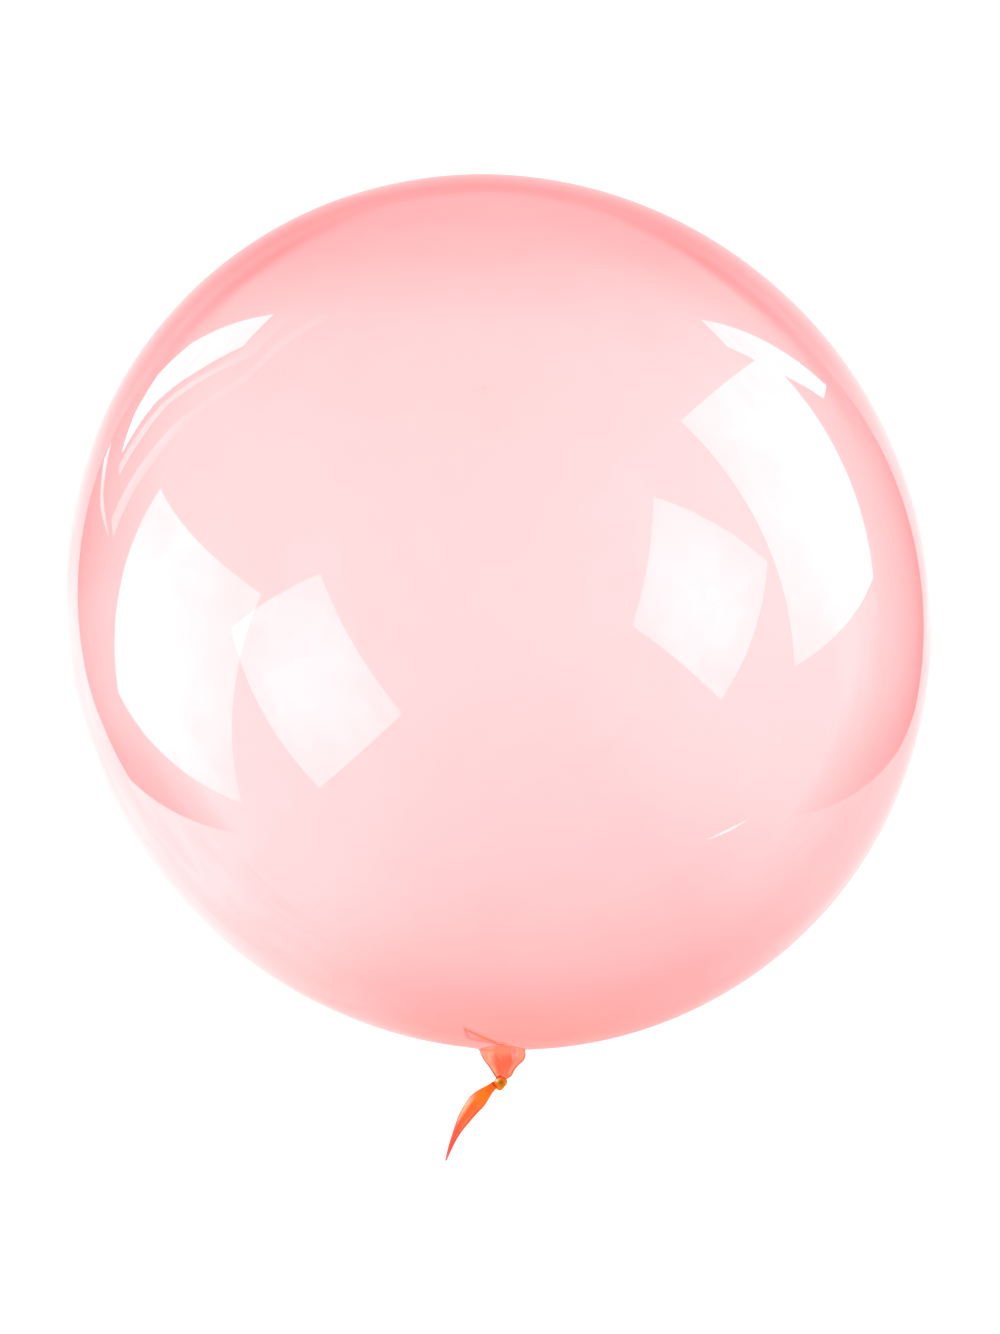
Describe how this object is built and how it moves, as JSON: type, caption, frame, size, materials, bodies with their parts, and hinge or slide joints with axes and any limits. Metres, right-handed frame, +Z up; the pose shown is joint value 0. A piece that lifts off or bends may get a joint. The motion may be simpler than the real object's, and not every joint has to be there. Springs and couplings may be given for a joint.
{
  "type": "bubble balloon",
  "caption": "Clear, pink-tinted bubble balloon, blown to a slightly egg-shaped ball, its pleated neck tied in an overhand knot with a short flat tail, lying on its side.",
  "frame": {"origin": "middle of the small flat spot that the balloon lies on, on the floor", "axes": "+Z up from the floor; -Y the way the neck points; the ball's long axis lies level, leaning from +Y towards -X"},
  "size_m": [0.5565, 0.634, 0.5475],
  "materials": {
    "film": "thin clear stretch film with a pink tint, highly glossy"
  },
  "bodies": {
    "root": {"balloon": "film"}
  },
  "joints": []
}
